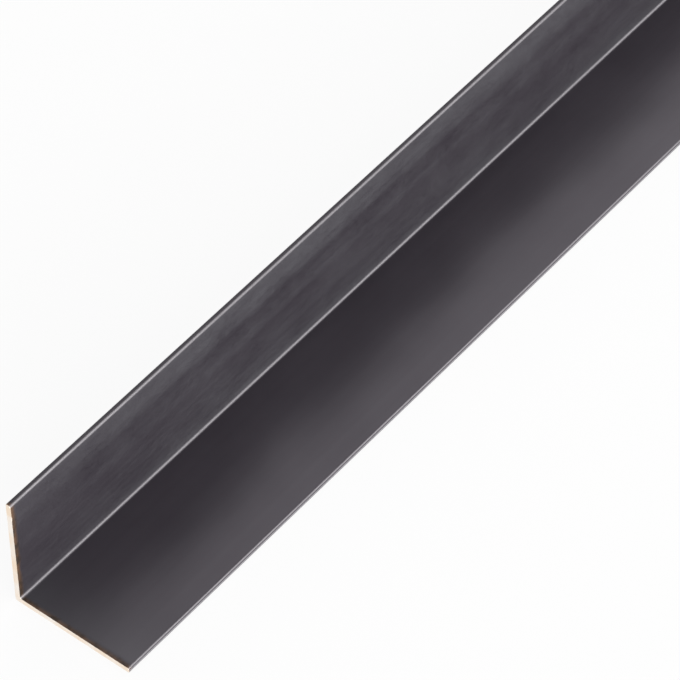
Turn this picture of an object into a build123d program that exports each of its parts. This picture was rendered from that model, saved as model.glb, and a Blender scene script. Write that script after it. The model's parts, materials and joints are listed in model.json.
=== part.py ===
"""Equal-leg angle section, a length of thin-walled extruded aluminium stock.

The section is an L of one constant wall. One leg lies on the floor and the other
stands up from the heel. The bar runs along X, the lying leg reaches from the heel
towards -Y, and +Z is up. The origin is at the middle of the bar's length, on the
floor and halfway across the lying leg. Every length is in millimetres.
"""

import os

from build123d import *

# Section
LEG = 35.5  # width of each leg, over the outside of the heel
WALL = 1.5  # thickness of both legs
ROOT_RADIUS = 0.8  # inside corner, as the die leaves it
HEEL_RADIUS = 0.3  # outside corner
INNER_TOE_RADIUS = 0.6  # arris of each free edge on the side of the inside corner
OUTER_TOE_RADIUS = 0.3  # arris of each free edge on the outside

# Stock length, cut square at both ends
LENGTH = 1000.0

# A radius on an outside corner leaves a flat in the middle of the wall's thickness
largest_outside_radius = 0.45 * WALL
heel_radius = min(HEEL_RADIUS, largest_outside_radius)
inner_toe_radius = min(INNER_TOE_RADIUS, largest_outside_radius)
outer_toe_radius = min(OUTER_TOE_RADIUS, largest_outside_radius)

# Places across the section, measured from the middle of the lying leg
heel_y = LEG / 2
toe_y = heel_y - LEG
inner_y = heel_y - WALL

with BuildPart() as angle_bar:
    # In this sketch x is the bar's Y and y is its Z
    with BuildSketch(Plane.YZ) as section:
        with BuildLine():
            Polyline(
                (heel_y, 0),
                (heel_y, LEG),
                (inner_y, LEG),
                (inner_y, WALL),
                (toe_y, WALL),
                (toe_y, 0),
                close=True,
            )
        make_face()

        for y, z, radius in (
            (heel_y, 0, heel_radius),
            (inner_y, WALL, ROOT_RADIUS),
            (inner_y, LEG, inner_toe_radius),
            (toe_y, WALL, inner_toe_radius),
            (heel_y, LEG, outer_toe_radius),
            (toe_y, 0, outer_toe_radius),
        ):
            corner = section.vertices().sort_by_distance((y, z))[0]
            fillet(corner, radius=radius)
    extrude(amount=LENGTH / 2, both=True)

angle_bar.part.label = "angle_bar"

os.makedirs("parts", exist_ok=True)
export_step(angle_bar.part, "parts/angle_bar.step")
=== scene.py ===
import json
import math

import bpy
from mathutils import Matrix, Vector, noise


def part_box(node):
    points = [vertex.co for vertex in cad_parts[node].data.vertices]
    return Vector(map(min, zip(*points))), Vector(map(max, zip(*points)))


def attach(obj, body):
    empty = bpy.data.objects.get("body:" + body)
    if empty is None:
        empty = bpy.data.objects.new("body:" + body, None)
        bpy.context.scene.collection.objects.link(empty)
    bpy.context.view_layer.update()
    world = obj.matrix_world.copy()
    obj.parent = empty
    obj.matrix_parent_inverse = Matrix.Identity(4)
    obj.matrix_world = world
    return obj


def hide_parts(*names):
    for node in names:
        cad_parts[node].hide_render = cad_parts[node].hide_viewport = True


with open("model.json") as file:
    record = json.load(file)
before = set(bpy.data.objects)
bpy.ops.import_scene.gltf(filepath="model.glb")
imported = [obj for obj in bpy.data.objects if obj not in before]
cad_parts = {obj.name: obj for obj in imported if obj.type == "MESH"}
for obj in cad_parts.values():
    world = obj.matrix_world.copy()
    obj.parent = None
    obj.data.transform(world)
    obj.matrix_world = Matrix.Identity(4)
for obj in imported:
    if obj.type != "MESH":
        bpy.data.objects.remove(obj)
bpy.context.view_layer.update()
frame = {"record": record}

# ---------------------------------------------------------------------------
# Angle bar. One length of thin-walled aluminium angle, pushed through a die,
# anodised dark and then sawn off square. The satin film has lengthwise streaks and
# bands, its arris crowns carry painted highlights, and the saw leaves bare bright ends
# with a slightly ragged edge.
# ---------------------------------------------------------------------------

low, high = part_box("angle_bar")
mounts = {mount["name"]: mount for mount in frame["record"]["mounts"]}
wall = mounts["lying_leg_inner_face"]["pos_m"][2] - low.z
heel_y, toe_y = high.y, low.y
inner_y = heel_y - wall

# Radii of the section's corners, as the die leaves them
root_radius = 0.0008
heel_radius = 0.0003
inner_toe_radius = 0.0006
outer_toe_radius = 0.0003
arris_steps = 12
flat_step = 0.0005
guard = 0.0002  # the flat keeps its own normal up to this distance from an arris


def arc(centre_y, centre_z, radius, start, end, bright, crown=0.22):
    """Points of a rounded corner, and how much painted highlight its film takes.

    The painted highlight, partly rubbed bright metal, fades out over crown, a share of the
    corner, each way from its middle.
    """
    points = []
    for step in range(arris_steps + 1):
        share = step / arris_steps
        angle = math.radians(start + (end - start) * share)
        y = centre_y + radius * math.cos(angle)
        z = centre_z + radius * math.sin(angle)
        points.append((y, z, bright * math.exp(-(((share - 0.5) / crown) ** 2))))
    return points


def flat(start, end, rub_and_highlight):
    """Points of a flat wall between two rounded corners, kept off the corners."""
    length = math.dist(start[:2], end[:2])
    steps = max(1, round((length - 2 * guard) / flat_step))
    points = []
    for step in range(steps + 1):
        share = (guard + (length - 2 * guard) * step / steps) / length
        y = start[0] + (end[0] - start[0]) * share
        z = start[1] + (end[1] - start[1]) * share
        points.append((y, z, rub_and_highlight))
    return points


# The section is walked from the heel up the outside, over the standing toe, down
# the inside to the root, out along the lying leg and back under it to the heel.
heel, root = heel_radius, root_radius
inner, outer = inner_toe_radius, outer_toe_radius
# The last number of each corner is the painted highlight on its crown: partly rubbed film on the
# convex arrises, painted highlight only in the concave root.
corners = [
    arc(heel_y - heel, low.z + heel, heel, -90, 0, 0.6),
    arc(heel_y - outer, high.z - outer, outer, 0, 90, 0.0),
    arc(inner_y + inner, high.z - inner, inner, 90, 180, 1.7, crown=0.30),
    arc(inner_y - root, low.z + wall + root, root, 0, -90, 1.08),
    arc(toe_y + inner, low.z + wall - inner, inner, 90, 180, 1.05),
    arc(toe_y + outer, low.z + outer, outer, 180, 270, 0.1),
]
flat_painted_reflection = [0.0, 0.0, 0.0, 0.0, 1.5, 0.0]  # only the lying leg's free edge takes a painted reflection of the white paper
section = []
for corner, following, rub_and_highlight in zip(corners, corners[1:] + corners[:1], flat_painted_reflection):
    section += corner + flat(corner[-1], following[0], rub_and_highlight)


def inward(index, depth):
    """A point of the section moved into the wall, square to the outline."""
    before, here, after = (section[(index + step) % len(section)] for step in (-1, 0, 1))
    along = Vector((after[0] - before[0], after[1] - before[1])).normalized()
    return here[0] - along.y * depth, here[1] + along.x * depth


# The saw breaks a little off the edge of each end, more or less at random, and it
# takes one nick out of the inside of the standing leg at the near end.
broken_width = 0.00007
broken_change = 0.00005
broken_waves = 1300.0  # a metre
nick_depth = 0.00018
nick_height = 0.031
nick_spread = 0.0006


def broken_edge(x, y, z):
    """Width that the saw breaks off the edge of an end, with one small nick."""
    ragged = broken_width + broken_change * noise.noise(Vector((x, y, z)) * broken_waves)
    on_near_inside = x < 0 and y < inner_y + 0.0002 and z > low.z + 0.01
    if not on_near_inside:
        return ragged
    return ragged + nick_depth * math.exp(-(((z - low.z - nick_height) / nick_spread) ** 2))


# Each end takes two rings: the flat sawn face, set in by the broken edge, and the
# start of the film. The rings between them are plain, and the first and last of
# those are close to the ends, so that the ragged edge doesn't reach far along the bar.
station_gap = 0.025
plain_from_end = 0.002
count = round((high.x - low.x) / station_gap)
middle = [low.x + (high.x - low.x) * step / count for step in range(1, count)]
stations = [(low.x, 0, 1), (low.x, 1, 0), (low.x + plain_from_end, 0, 0)]
stations += [(x, 0, 0) for x in middle]
stations += [(high.x - plain_from_end, 0, 0), (high.x, -1, 0), (high.x, 0, 1)]

vertices = []
rub_and_highlight_levels = []
for x, shift, depth in stations:
    for index, (y, z, rub_and_highlight) in enumerate(section):
        broken = broken_edge(x, y, z)
        y, z = inward(index, broken * depth) if depth else (y, z)
        vertices.append((x + broken * shift, y, z))
        rub_and_highlight_levels.append(rub_and_highlight)

around = len(section)
faces = []
metal = []
for ring in range(len(stations) - 1):
    sawn = ring in (0, len(stations) - 2)
    for index in range(around):
        a = ring * around + index
        b = ring * around + (index + 1) % around
        faces.append((a, b, b + around, a + around))
        metal.append(1 if sawn else 0)
faces.append(tuple(reversed(range(around))))
faces.append(tuple(range((len(stations) - 1) * around, len(stations) * around)))
metal += [1, 1]

mesh = bpy.data.meshes.new("anodised_angle")
mesh.from_pydata(vertices, [], faces)
mesh.polygons.foreach_set("material_index", metal)
mesh.polygons.foreach_set("use_smooth", [not sawn for sawn in metal])
mesh.attributes.new("arris_polish", "FLOAT", "POINT").data.foreach_set("value", rub_and_highlight_levels)
mesh.update()
anodised_angle = bpy.data.objects.new("anodised_angle", mesh)
bpy.context.scene.collection.objects.link(anodised_angle)


class Shade:
    """A value in a finish. Sums on it add Math nodes, and node() adds any other kind."""

    def __init__(self, tree, socket=None):
        self.tree = tree
        self.socket = socket

    def node(self, kind, settings=(), inputs=(), output=0):
        made = self.tree.nodes.new(kind)
        for name, value in dict(settings).items():
            if name == "stops":
                ramp = made.color_ramp.elements
                while len(ramp) < len(value):
                    ramp.new(0.5)
                for stop, (position, level) in zip(ramp, value):
                    stop.position = position
                    stop.color = (level, level, level, 1.0)
            else:
                setattr(made, name, value)
        for name, value in dict(inputs).items():
            if isinstance(value, Shade):
                self.tree.links.new(value.socket, made.inputs[name])
            else:
                made.inputs[name].default_value = value
        return Shade(self.tree, made.outputs[output] if made.outputs else None)

    def sum(self, operation, first, second):
        return self.node("ShaderNodeMath", {"operation": operation}, {0: first, 1: second})

    def __add__(self, other):
        return self.sum("ADD", self, other)

    def __sub__(self, other):
        return self.sum("SUBTRACT", self, other)

    def __rsub__(self, other):
        return self.sum("SUBTRACT", other, self)

    def __mul__(self, other):
        return self.sum("MULTIPLY", self, other)

    __radd__ = __add__
    __rmul__ = __mul__


def new_finish(name):
    """An empty material, and a Shade that adds nodes to it."""
    material = bpy.data.materials.new(name)
    material.use_nodes = True
    material.node_tree.nodes.clear()
    return material, Shade(material.node_tree)


noise_offset = (0.37, 0.43, 0.29)  # keeps the noise's own grid off the middle of the bar


def blotches(finish, scale, detail):
    """Noise from 0 to 1 over the bar, with its own number of waves a metre on each axis."""
    place = finish.node("ShaderNodeTexCoord", output="Object")
    stretched = finish.node(
        "ShaderNodeVectorMath",
        {"operation": "MULTIPLY_ADD"},
        {0: place, 1: scale, 2: noise_offset},
    )
    return finish.node(
        "ShaderNodeTexNoise",
        {"noise_dimensions": "3D"},
        {"Vector": stretched, "Scale": 1.0, "Detail": detail, "Roughness": 0.5},
    )


def mixed(finish, factor, first, second):
    """A colour between two others."""
    inputs = {0: factor, 6: first, 7: second}
    return finish.node("ShaderNodeMix", {"data_type": "RGBA"}, inputs, output=2)


def spread(finish, value, low_in, high_in, low_out=0.0, high_out=1.0):
    """A value carried from one range to another, and held at its ends."""
    inputs = {0: value, 1: low_in, 2: high_in, 3: low_out, 4: high_out}
    return finish.node("ShaderNodeMapRange", {}, inputs)


# Dark anodising: a thin hard film, almost black, with a slight plum cast.
dark_anodising, film = new_finish("dark_anodising")
broad_streaks = blotches(film, (2.0, 160.0, 160.0), 2.0)
fine_streaks = blotches(film, (5.0, 700.0, 700.0), 2.0)
mottling = blotches(film, (90.0, 130.0, 130.0), 5.0)
grain = blotches(film, (700.0, 1300.0, 1300.0), 1.0)
waves = blotches(film, (26.0, 28.0, 28.0), 1.0)

# The inside of the standing leg is lighter, duller and more streaked in lengthwise
# bands, most of all in a band along its top and beside the root.
place = film.node("ShaderNodeTexCoord", output="Object")
lengthwise = film.node("ShaderNodeSeparateXYZ", {}, {0: place}, output="X")
crosswise = film.node("ShaderNodeSeparateXYZ", {}, {0: place}, output="Y")
height = film.node("ShaderNodeSeparateXYZ", {}, {0: place}, output="Z")
from_end = high.x - film.node("ShaderNodeMath", {"operation": "ABSOLUTE"}, {0: lengthwise})
leg_share = spread(film, height + (mottling - 0.5) * 0.0008, low.z + wall, high.z)
bands = film.node(
    "ShaderNodeValToRGB",
    {
        "stops": [
            (0.00, 1.00),
            (0.05, 0.90),
            (0.09, 0.70),
            (0.18, 0.48),
            (0.31, 0.42),
            (0.42, 0.18),
            (0.55, 0.52),
            (0.64, 0.33),
            (0.72, 0.38),
            (0.76, 0.80),
            (0.86, 0.97),
            (1.00, 0.85),
        ]
    },
    {0: leg_share},
)
faces_inside = spread(film, crosswise, inner_y - 0.0004, inner_y - 0.0001) * spread(
    film, crosswise, inner_y + 0.0003, inner_y + 0.0006, 1.0, 0.0
)
streaks = (
    (fine_streaks - 0.5) * 0.45
    + (broad_streaks - 0.5) * 0.3
    + (mottling - 0.5) * 0.9
    + (grain - 0.5) * 0.6
)
streaked = bands + streaks * (0.7 + bands * 0.8)
dull = streaked * faces_inside * spread(film, from_end, 0.0, 0.07, 0.52, 1.0)

# Right beside the saw cut the film is chipped to a bronze edge, and the last
# centimetre or two of the other faces is lighter and a little rougher. The film is
# darkest and least glossy on the top edge.
chips = blotches(film, (420.0, 420.0, 420.0), 3.0)
chip_reach = from_end + (chips - 0.5) * 0.0024 - faces_inside * 0.0003
chipped = spread(film, chip_reach, 0.0004, 0.0014, 1.0, 0.0)
near_end_ramp = spread(film, from_end + (mottling - 0.5) * 0.01, 0.0, 0.026, 1.0, 0.0)
lighter_near_ends = near_end_ramp * near_end_ramp
inky = spread(film, height, high.z - 0.0005, high.z - 0.0002)

tone = spread(film, broad_streaks * 0.4 + fine_streaks * 0.25 + mottling * 0.35, 0.32, 0.68)
film_colour = mixed(film, tone, (0.0255, 0.0215, 0.0275, 1.0), (0.0365, 0.0315, 0.0385, 1.0))
faded = dull * 0.7 + lighter_near_ends * (0.7 - 0.7 * faces_inside)
faded_colour = mixed(film, faded, film_colour, (0.0592, 0.0577, 0.0642, 1.0))
inky_colour = mixed(film, inky, faded_colour, (0.008, 0.006, 0.009, 1.0))
chip_tone = spread(film, chips, 0.38, 0.62)
chip_colour = mixed(film, chip_tone, (0.030, 0.019, 0.011, 1.0), (0.120, 0.062, 0.028, 1.0))
edge_colour = mixed(film, chipped, inky_colour, chip_colour)
# Painted highlights: the arris crowns and the lying leg's free edge mix towards light grey and
# turn metallic, partly rubbed film and partly painted highlight.
rub_and_highlight_map = film.node("ShaderNodeAttribute", {"attribute_name": "arris_polish"}, output="Fac")
rub_and_highlight_share = rub_and_highlight_map * 0.45
surface_colour = mixed(film, rub_and_highlight_share, edge_colour, (0.50, 0.48, 0.50, 1.0))
relief = film.node(
    "ShaderNodeBump", {}, {"Strength": 1.0, "Distance": 1.0, "Height": waves * 0.0013}
)
surface = film.node(
    "ShaderNodeBsdfPrincipled",
    {},
    {
        "Base Color": surface_colour,
        "Roughness": 0.30 + broad_streaks * 0.08 + dull * 0.3 + lighter_near_ends * 0.05 + inky * 0.26,
        "Metallic": rub_and_highlight_share,
        "IOR": 1.5,
        "Specular Tint": (0.97, 0.91, 1.0, 1.0),
        "Normal": relief,
    },
)
film.node("ShaderNodeOutputMaterial", {}, {"Surface": surface})

# Bare sawn metal: bright, a little warm, with the fine parallel marks of the blade.
sawn_metal, cut = new_finish("sawn_metal")
blade_marks = blotches(cut, (60.0, 5000.0, 400.0), 3.0)
tarnish = spread(cut, blotches(cut, (200.0, 200.0, 200.0), 2.0), 0.35, 0.65)
marked_colour = mixed(cut, blade_marks, (0.90, 0.82, 0.74, 1.0), (0.98, 0.93, 0.87, 1.0))
cut_colour = mixed(cut, tarnish, marked_colour, (0.91, 0.76, 0.61, 1.0))
marks = cut.node(
    "ShaderNodeBump", {}, {"Strength": 1.0, "Distance": 1.0, "Height": blade_marks * 0.000004}
)
cut_surface = cut.node(
    "ShaderNodeBsdfPrincipled",
    {},
    {
        "Base Color": cut_colour,
        "Roughness": blade_marks * 0.2 + 0.3,
        "Metallic": 1.0,
        "Normal": marks,
    },
)
cut.node("ShaderNodeOutputMaterial", {}, {"Surface": cut_surface})

mesh.materials.append(dark_anodising)
mesh.materials.append(sawn_metal)
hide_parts("angle_bar")
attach(anodised_angle, "root")

# ---------------------------------------------------------------------------
# Paper. The bar lies on a wide sheet of white paper that keeps its soft shadow,
# and white surroundings show in its satin faces and bright ends.
# ---------------------------------------------------------------------------

paper_reach = 40.0
paper_gap = 0.00002  # below the bar, so that the two don't share a plane
whiteness = 0.9
pure_white = (1.0, 1.0, 1.0, 1.0)

paper_mesh = bpy.data.meshes.new("white_paper")
paper_corners = [(-1, -1), (1, -1), (1, 1), (-1, 1)]
paper_mesh.from_pydata(
    [(x * paper_reach, y * paper_reach, low.z - paper_gap) for x, y in paper_corners],
    [],
    [(0, 1, 2, 3)],
)
white_paper = bpy.data.objects.new("white_paper", paper_mesh)
bpy.context.scene.collection.objects.link(white_paper)

paper_finish, paper = new_finish("white_paper")
ray = "ShaderNodeLightPath"
seen = (
    paper.node(ray, output="Is Camera Ray")
    + paper.node(ray, output="Is Glossy Ray")
    + paper.node(ray, output="Is Transmission Ray")
)
matt = paper.node("ShaderNodeBsdfDiffuse", {}, {"Color": (0.9, 0.9, 0.9, 1.0)})
white = paper.node("ShaderNodeEmission", {}, {"Color": pure_white, "Strength": 1.0})
sheet = paper.node("ShaderNodeMixShader", {}, {0: seen * whiteness, 1: matt, 2: white})
under = paper.node("ShaderNodeNewGeometry", output="Backfacing")
clear = paper.node("ShaderNodeBsdfTransparent")
both = paper.node("ShaderNodeMixShader", {}, {0: under, 1: sheet, 2: clear})
paper.node("ShaderNodeOutputMaterial", {}, {"Surface": both})
paper_mesh.materials.append(paper_finish)

# The surroundings are white to the eye, and in the gloss they fade towards the top.
ambient = 0.3
world = bpy.data.worlds.new("white_surroundings")
world.use_nodes = True
world.node_tree.nodes.clear()
sky = Shade(world.node_tree)
in_sight = sky.node(ray, output="Is Camera Ray")
in_gloss = sky.node(ray, output="Is Glossy Ray") + sky.node(ray, output="Is Transmission Ray")
direction = sky.node("ShaderNodeTexCoord", output="Generated")
upward = sky.node("ShaderNodeSeparateXYZ", {}, {0: direction}, output="Z")
fading = spread(sky, upward, 0.6, 1.0, 1.0, 0.5)
strength = ambient * (1.0 - in_sight - in_gloss) + in_sight + in_gloss * fading
backdrop = sky.node("ShaderNodeBackground", {}, {"Color": pure_white, "Strength": strength})
sky.node("ShaderNodeOutputWorld", {}, {"Surface": backdrop})
bpy.context.scene.world = world

# ---------------------------------------------------------------------------
# Lamps. A large softbox over the open side of the angle, a low one off its near end
# and one behind it, all turned to the near part of the bar.
# ---------------------------------------------------------------------------

lit_point = Vector((-0.3, 0.0, 0.0))


def softbox(name, place, size, radiance):
    """A flat rectangular lamp that faces the lit point, as bright as radiance says."""
    lamp = bpy.data.lights.new(name, "AREA")
    lamp.shape = "RECTANGLE"
    lamp.size, lamp.size_y = size
    lamp.energy = radiance * math.pi * size[0] * size[1]
    fixture = bpy.data.objects.new(name, lamp)
    fixture.location = place
    fixture.rotation_euler = (lit_point - Vector(place)).to_track_quat("-Z", "Y").to_euler()
    bpy.context.scene.collection.objects.link(fixture)


softbox("key_softbox", (0.57, -0.85, 1.19), (2.4, 1.0), 2.0)
softbox("fill_softbox", (-1.2, -1.4, 0.3), (1.6, 1.0), 7.0)
softbox("back_softbox", (0.27, 0.93, 0.97), (2.4, 1.0), 1.44)

# ---------------------------------------------------------------------------
# Camera. A long lens looks down into the angle from off its near end, so the bar runs
# out of the top right corner. Angles are in degrees, the lens and sensor in millimetres.
# ---------------------------------------------------------------------------

azimuth, elevation, roll = -50.03, 48.41, 1.356
distance = 1.1716
aim_from_end, aim_across = 0.1106, 0.0081
aim = Vector((low.x + aim_from_end, aim_across, low.z + wall))

side, rise = math.radians(azimuth), math.radians(elevation)
back = Vector(
    (
        math.sin(side) * math.cos(rise),
        -math.cos(side) * math.cos(rise),
        math.sin(rise),
    )
)
camera_data = bpy.data.cameras.new("camera")
camera_data.lens = 249.9
camera_data.sensor_width = 36.0
camera = bpy.data.objects.new("camera", camera_data)
turn = (-back).to_track_quat("-Z", "Y").to_matrix() @ Matrix.Rotation(math.radians(-roll), 3, "Z")
camera.matrix_world = Matrix.Translation(aim + back * distance) @ turn.to_4x4()
bpy.context.scene.collection.objects.link(camera)
bpy.context.scene.camera = camera

bpy.context.scene.view_settings.view_transform = "Standard"
